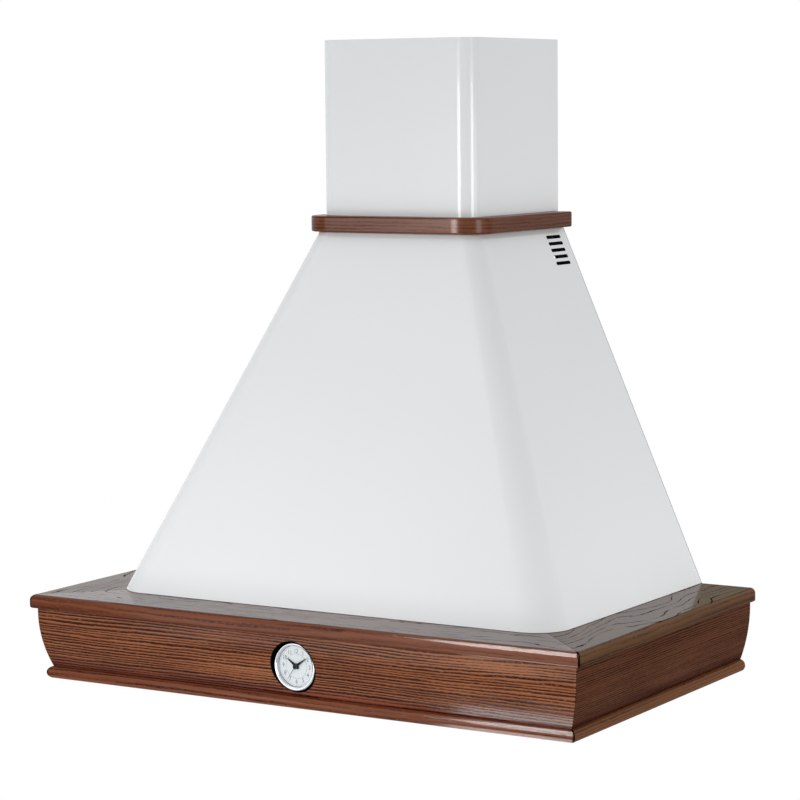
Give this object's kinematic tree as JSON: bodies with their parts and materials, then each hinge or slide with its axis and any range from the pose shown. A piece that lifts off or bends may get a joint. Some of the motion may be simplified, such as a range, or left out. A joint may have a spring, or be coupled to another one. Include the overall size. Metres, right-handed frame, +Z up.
{
  "type": "range hood",
  "caption": "Wall-hung range hood: white enamelled steel canopy and chimney on a moulded stained-wood frame with a round clock let into its front board.",
  "frame": {"origin": "below the middle of the hood, at the height of its lowest edge, halfway between the wall and the front edge", "axes": "+X to the right as seen from the room, +Y towards the wall, +Z up"},
  "size_m": [0.9, 0.55, 0.922],
  "materials": {
    "stained_wood": "stained and lacquered oak, glossy",
    "plain_wood": "bare softwood",
    "enamel": "white stove enamel, glossy",
    "zinc_steel": "zinc-plated sheet",
    "aluminium": "mill-finish mesh",
    "chrome": "polished",
    "black_plastic": "moulded black",
    "white_plastic": "moulded white",
    "dial_white": "matt white",
    "hand_black": "black lacquer",
    "frosted_glass": "frosted",
    "clear_glass": "clear"
  },
  "bodies": {
    "hood": {"front_top_board": "stained_wood", "front_fascia": "stained_wood", "front_bead": "stained_wood", "left_top_board": "stained_wood", "left_fascia": "stained_wood", "left_bead": "stained_wood", "right_top_board": "stained_wood", "right_fascia": "stained_wood", "right_bead": "stained_wood", "left_corner_block": "plain_wood", "right_corner_block": "plain_wood", "rear_rail": "plain_wood", "chimney_collar": "stained_wood", "canopy_shell": "enamel", "back_panel": "enamel", "outer_chimney": "enamel", "underside_pan": "enamel", "left_lamp_trim": "chrome", "left_lamp_lens": "frosted_glass", "left_lamp_housing": "zinc_steel", "right_lamp_trim": "chrome", "right_lamp_lens": "frosted_glass", "right_lamp_housing": "zinc_steel", "switch_housing": "black_plastic", "blower_housing": "zinc_steel", "motor_body": "zinc_steel", "motor_bracket": "zinc_steel", "blower_bracket": "zinc_steel", "outlet_spigot": "black_plastic", "terminal_box": "black_plastic", "cable_gland": "black_plastic", "capacitor": "white_plastic", "clock_seat_ring": "black_plastic"},
    "clock": {"clock_case": "black_plastic", "clock_bezel": "chrome", "clock_lens": "clear_glass", "clock_dial": "dial_white", "clock_movement": "black_plastic"},
    "second_hand": {"second_hand": "hand_black"},
    "minute_hand": {"minute_hand": "hand_black"},
    "hour_hand": {"hour_hand": "hand_black"},
    "clock_knob": {"clock_knob": "black_plastic"},
    "left_filter": {"left_filter_frame": "aluminium", "left_filter_mesh": "aluminium"},
    "right_filter": {"right_filter_frame": "aluminium", "right_filter_mesh": "aluminium"},
    "left_latch": {"left_filter_latch": "black_plastic"},
    "right_latch": {"right_filter_latch": "black_plastic"},
    "impeller": {"impeller": "black_plastic", "impeller_hub": "zinc_steel", "motor_shaft": "zinc_steel"},
    "left_damper": {"left_damper_flap": "black_plastic"},
    "right_damper": {"right_damper_flap": "black_plastic"},
    "inner_chimney": {"inner_chimney": "enamel", "chimney_bracket": "zinc_steel"},
    "button_off": {"button_off": "white_plastic"},
    "button_speed_1": {"button_speed_1": "white_plastic"},
    "button_speed_2": {"button_speed_2": "white_plastic"},
    "button_speed_3": {"button_speed_3": "white_plastic"},
    "button_light": {"button_light": "white_plastic"}
  },
  "joints": [
    {"name": "clock_pull", "type": "slide", "parent": "hood", "child": "clock", "axis": [0, -1, 0], "range_m": [0, 0.03]},
    {"name": "second_hand_turn", "type": "hinge", "parent": "clock", "child": "second_hand", "pos_m": [0, -0.275, 0.06], "axis": [0, 1, 0], "continuous": true},
    {"name": "minute_hand_turn", "type": "hinge", "parent": "clock", "child": "minute_hand", "pos_m": [0, -0.275, 0.06], "axis": [0, 1, 0], "continuous": true},
    {"name": "hour_hand_turn", "type": "hinge", "parent": "clock", "child": "hour_hand", "pos_m": [0, -0.275, 0.06], "axis": [0, 1, 0], "continuous": true},
    {"name": "clock_knob_turn", "type": "hinge", "parent": "clock", "child": "clock_knob", "pos_m": [0, -0.275, 0.06], "axis": [0, 1, 0], "continuous": true},
    {"name": "left_filter_swing", "type": "hinge", "parent": "hood", "child": "left_filter", "pos_m": [-0.168, 0.143, 0.016], "axis": [1, 0, 0], "range_deg": [0, 75]},
    {"name": "left_latch_slide", "type": "slide", "parent": "left_filter", "child": "left_latch", "axis": [0, 1, 0], "range_m": [0, 0.005], "stiffness_N_per_m": 300, "springref_m": -0.001},
    {"name": "left_damper_swing", "type": "hinge", "parent": "hood", "child": "left_damper", "pos_m": [-0.0036, 0.184, 0.566], "axis": [0, 1, 0], "range_deg": [0, 75]},
    {"name": "right_filter_swing", "type": "hinge", "parent": "hood", "child": "right_filter", "pos_m": [0.168, 0.143, 0.016], "axis": [1, 0, 0], "range_deg": [0, 75]},
    {"name": "right_latch_slide", "type": "slide", "parent": "right_filter", "child": "right_latch", "axis": [0, 1, 0], "range_m": [0, 0.005], "stiffness_N_per_m": 300, "springref_m": -0.001},
    {"name": "right_damper_swing", "type": "hinge", "parent": "hood", "child": "right_damper", "pos_m": [0.0036, 0.184, 0.566], "axis": [0, -1, 0], "range_deg": [0, 75]},
    {"name": "press_off", "type": "slide", "parent": "hood", "child": "button_off", "axis": [0, 0, 1], "range_m": [0, 0.003], "stiffness_N_per_m": 400, "springref_m": -0.001},
    {"name": "press_speed_1", "type": "slide", "parent": "hood", "child": "button_speed_1", "axis": [0, 0, 1], "range_m": [0, 0.003], "stiffness_N_per_m": 400, "springref_m": -0.001},
    {"name": "press_speed_2", "type": "slide", "parent": "hood", "child": "button_speed_2", "axis": [0, 0, 1], "range_m": [0, 0.003], "stiffness_N_per_m": 400, "springref_m": -0.001},
    {"name": "press_speed_3", "type": "slide", "parent": "hood", "child": "button_speed_3", "axis": [0, 0, 1], "range_m": [0, 0.003], "stiffness_N_per_m": 400, "springref_m": -0.001},
    {"name": "press_light", "type": "slide", "parent": "hood", "child": "button_light", "axis": [0, 0, 1], "range_m": [0, 0.003], "stiffness_N_per_m": 400, "springref_m": -0.001},
    {"name": "impeller_spin", "type": "hinge", "parent": "hood", "child": "impeller", "pos_m": [0, 0.118, 0.4], "axis": [1, 0, 0], "continuous": true},
    {"name": "chimney_extend", "type": "slide", "parent": "hood", "child": "inner_chimney", "axis": [0, 0, 1], "range_m": [0, 0.17]}
  ],
  "couplings": [
    {"joint": "minute_hand_turn", "follows": "second_hand_turn", "ratio": 0.016667},
    {"joint": "hour_hand_turn", "follows": "second_hand_turn", "ratio": 0.0013889},
    {"joint": "clock_knob_turn", "follows": "second_hand_turn", "ratio": 0.016667}
  ]
}
